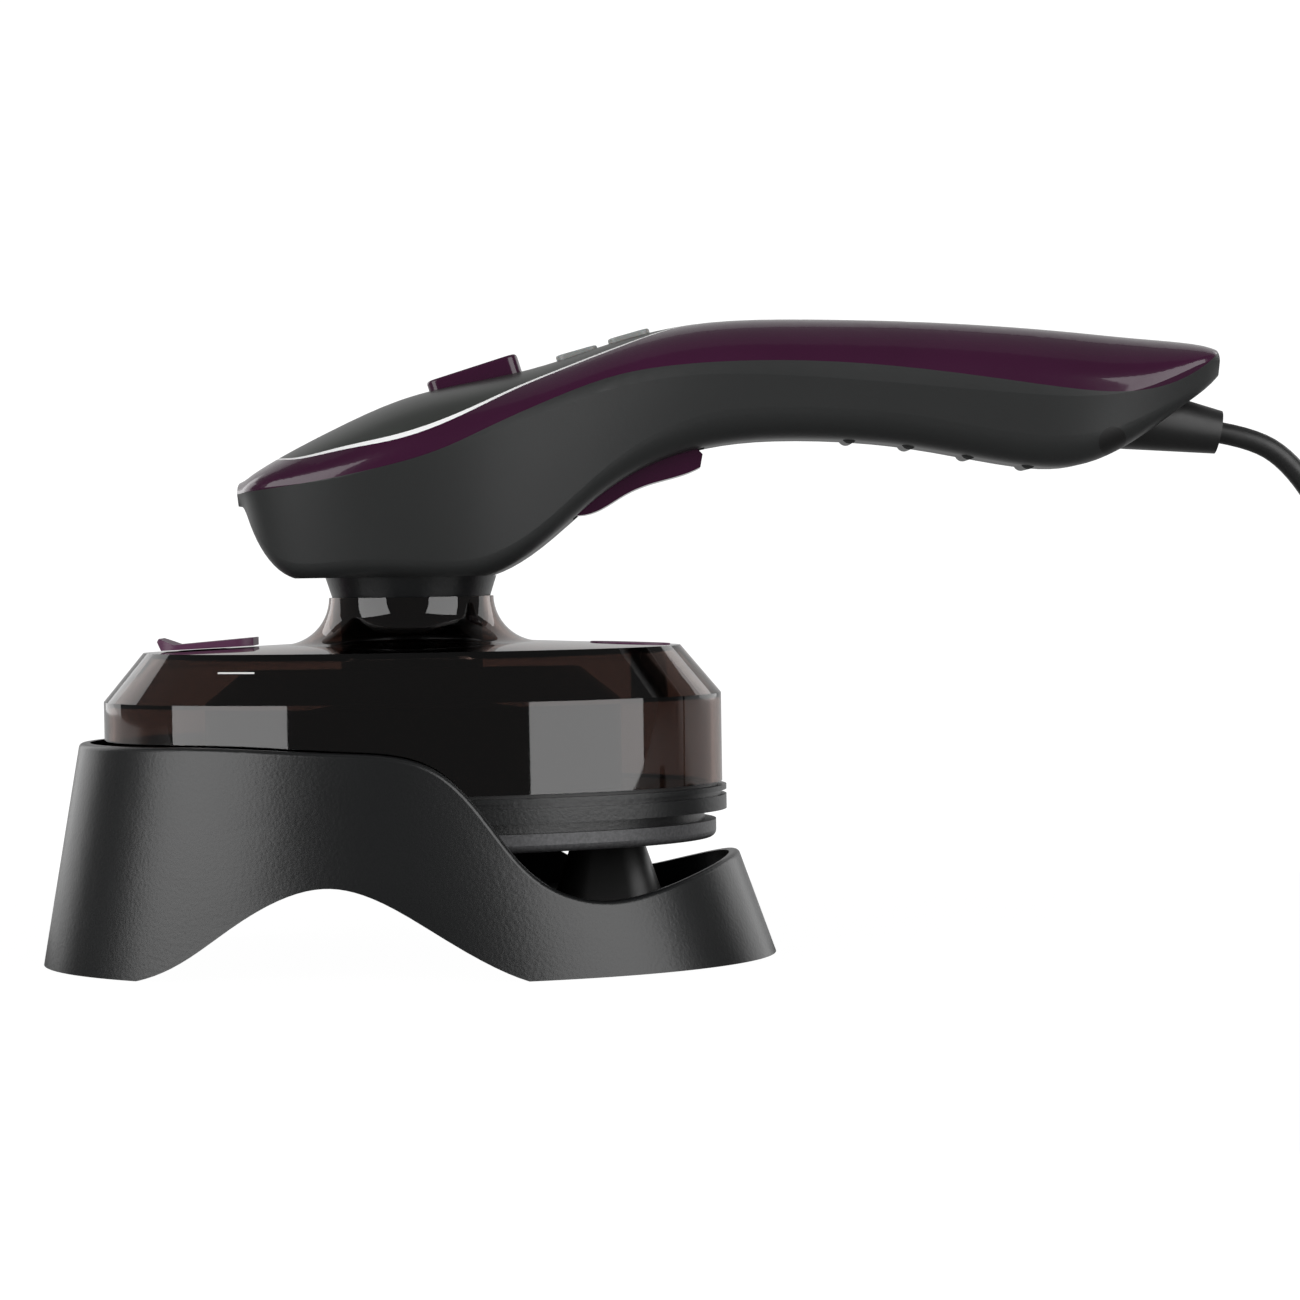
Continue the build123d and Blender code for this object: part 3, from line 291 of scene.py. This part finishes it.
bmesh.ops.translate(ink_bm, verts=ink_top, vec=(0.0, slope * oval_ratio * ink_width, ink_width))
bmesh.ops.solidify(ink_bm, geom=ink_bm.faces[:], thickness=ink_thick)
bmesh.ops.recalc_face_normals(ink_bm, faces=ink_bm.faces)
ink_mesh = bpy.data.meshes.new("fill_line")
ink_bm.to_mesh(ink_mesh)
ink_bm.free()
fill_line = new_object("fill_line", ink_mesh)
white_ink = new_finish("pad_printed_ink", {"Base Color": linear("#e6e6e4"), "IOR": 1.5})
vary_sheen(white_ink, spot_mm=0.6, detail=2.0, smooth=0.4, dull=0.65)
ink_mesh.materials.append(white_ink)
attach(fill_line, "iron")

# Filler flap and the oval cap on the rear of the deck: soft plum elastomer, moulded with a matt
# skin. The flap bends at its rear edge to open the filler hole.
flap_rubber = new_finish("plum_elastomer", {"Base Color": linear("#5c3050"), "IOR": 1.5})
vary_sheen(flap_rubber, spot_mm=3.0, detail=3.0, smooth=0.35, dull=0.5)
dress(flap_rubber, "filler_flap", "rear_cap")

# Lower half of the handle: charcoal ABS, joined to the cover by screws under a plug on each flank.
# A polished tool rubbed with fine grit leaves an even satin. Its tooth is drawn at 0.7 mm,
# coarser than the real one, so that it shows.
grey_abs = new_finish("satin_abs", {"Roughness": 0.4, "IOR": 1.53, "Specular IOR Level": 0.4})
vary_tone(grey_abs, spot_mm=40.0, detail=2.0, dark="#242525", pale="#2b2c2c")
emboss(grey_abs, grain_mm=0.7, detail=2.0, strength=0.15, depth_mm=0.08)
dress(grey_abs, "lower_body")

# Control board inside the head: glass-epoxy laminate under green lacquer, held on posts.
# The glass weave shows through the lacquer as small paler spots.
board_lacquer = new_finish("board_lacquer", {"Roughness": 0.35})
vary_tone(board_lacquer, spot_mm=1.0, detail=1.0, dark="#12401f", pale="#1c5a2c")
dress(board_lacquer, "control_board")

# Metal pins: the trigger's ground pin, held in two lugs of the lower half, and the plug's two
# pins. All are nickel-plated, with a bright and slightly uneven skin.
nickel = new_finish("nickel_plate", {"Base Color": linear("#c9c5bb"), "Metallic": 1.0})
vary_sheen(nickel, spot_mm=2.0, detail=3.0, smooth=0.16, dull=0.3)
dress(nickel, "trigger_pin", "plug_pins")

# Plum parts: top cover, slider and trigger, moulded in plum ABS and lacquered.
# A faint pearl in the lacquer shifts the tone over a few centimetres.
plum_lacquer = new_finish("plum_lacquer", {
    "Roughness": 0.25, "IOR": 1.5, "Specular IOR Level": 0.2, "Coat Weight": 0.6,
    "Coat Roughness": 0.05})
vary_tone(plum_lacquer, spot_mm=30.0, detail=2.0, dark="#2f0a25", pale="#3e1433")
dress(plum_lacquer, "top_cover", "slider", "trigger")

# Control panel: dark grey-green film with a satin hard coat, set flush in the cover, with a thin
# rim painted silver and two keys in frosted clear-grey acrylic, which let a little light in.
# The plunger of the trigger's switch has the same finish as the keys.
panel_film = new_finish("satin_panel_film", {"IOR": 1.5, "Roughness": 0.33})
vary_tone(panel_film, spot_mm=20.0, detail=2.0, dark="#2b2d2b", pale="#3a3d3a")
dress(panel_film, "control_panel")
key_grey = new_finish("frosted_key", {
    "Base Color": linear("#8d8f8e"), "IOR": 1.49, "Subsurface Weight": 0.1})
vary_sheen(key_grey, spot_mm=2.0, detail=2.0, smooth=0.28, dull=0.4)
dress(key_grey, "button_front", "button_rear", "switch_plunger")
silver_trim = new_finish("silver_paint", {"Base Color": linear("#ffffff"), "IOR": 1.6})
vary_sheen(silver_trim, spot_mm=10.0, detail=2.0, smooth=0.2, dull=0.3)
dress(silver_trim, "panel_trim")

# Cord: 5.5 mm PVC mains lead that leaves the guard level, falls to the table and is put away
# in a flat round coil just outside the view, held by a rubber band, with its plug beside it.
# Each layer of the coil winds for four half turns and climbs to the next in a fifth.
cord_radius = 0.00275
lead_route = [
    (0.148, 0.0, 0.1278), (0.1565, 0.0, 0.12617), (0.1651, 0.0004, 0.121),
    (0.1735, 0.0012, 0.1098), (0.1805, 0.0022, 0.0932), (0.1863, 0.003, 0.073),
    (0.1916, 0.0032, 0.0517), (0.1984, 0.0026, 0.0329), (0.2085, 0.0016, 0.0185),
    (0.222, 0.0006, 0.0082), (0.237, 0.0, 0.0042), (0.25, 0.0, 0.00395),
]
coil_middle = Vector((0.262, 0.038, 0.00395))
coil_outer, coil_inner = 0.038, 0.0236
coil_rise = 0.0061
coil_half_turns = 17.5
level_half_turns, layer_half_turns = 4, 5
half_turn_points = 6
step_angle = math.pi / half_turn_points
coil_route = []
for step in range(int(coil_half_turns * half_turn_points)):
    half_turns = (step + 0.5) / half_turn_points
    layer, along = divmod(half_turns, layer_half_turns)
    share = min(along, level_half_turns) / level_half_turns
    inward = share if layer % 2 == 0 else 1 - share
    radius = coil_outer + (coil_inner - coil_outer) * inward
    reach = radius / math.cos(step_angle / 2)
    angle = math.pi * (half_turns - 0.5)
    lift = coil_rise * (layer + max(along - level_half_turns, 0))
    turned = Vector((reach * math.cos(angle), reach * math.sin(angle), lift))
    coil_route.append(coil_middle + turned)
tail_x = coil_route[-1].x
tail_route = [
    (tail_x, 0.025, 0.02225), (tail_x, 0.0095, 0.02225), (tail_x, -0.0195, 0.0175),
    (0.2294, -0.0275, 0.0175),
]
cord_points = [Vector(p) for p in lead_route] + coil_route + [Vector(p) for p in tail_route]
cord_curve = bpy.data.curves.new("mains_cord", "CURVE")
cord_curve.dimensions = "3D"
cord_curve.bevel_depth = cord_radius
cord_curve.bevel_resolution = 3
cord_curve.resolution_u = 5
cord_curve.use_fill_caps = True
cord_line = cord_curve.splines.new("NURBS")
cord_line.points.add(len(cord_points) - 1)
for point, cord_point in zip(cord_line.points, cord_points):
    point.co = (*cord_point, 1.0)
cord_line.order_u = 3
cord_line.use_endpoint_u = True
mains_cord = new_object("mains_cord", cord_curve)
cord_pvc = new_finish("extruded_pvc", {"Base Color": linear("#161616"), "IOR": 1.53})
vary_sheen(cord_pvc, spot_mm=1.5, detail=2.0, smooth=0.36, dull=0.5)
cord_curve.materials.append(cord_pvc)
dress(cord_pvc, "cord_guard")
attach(mains_cord, "iron")
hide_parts("cord_lead", "cord_coil")
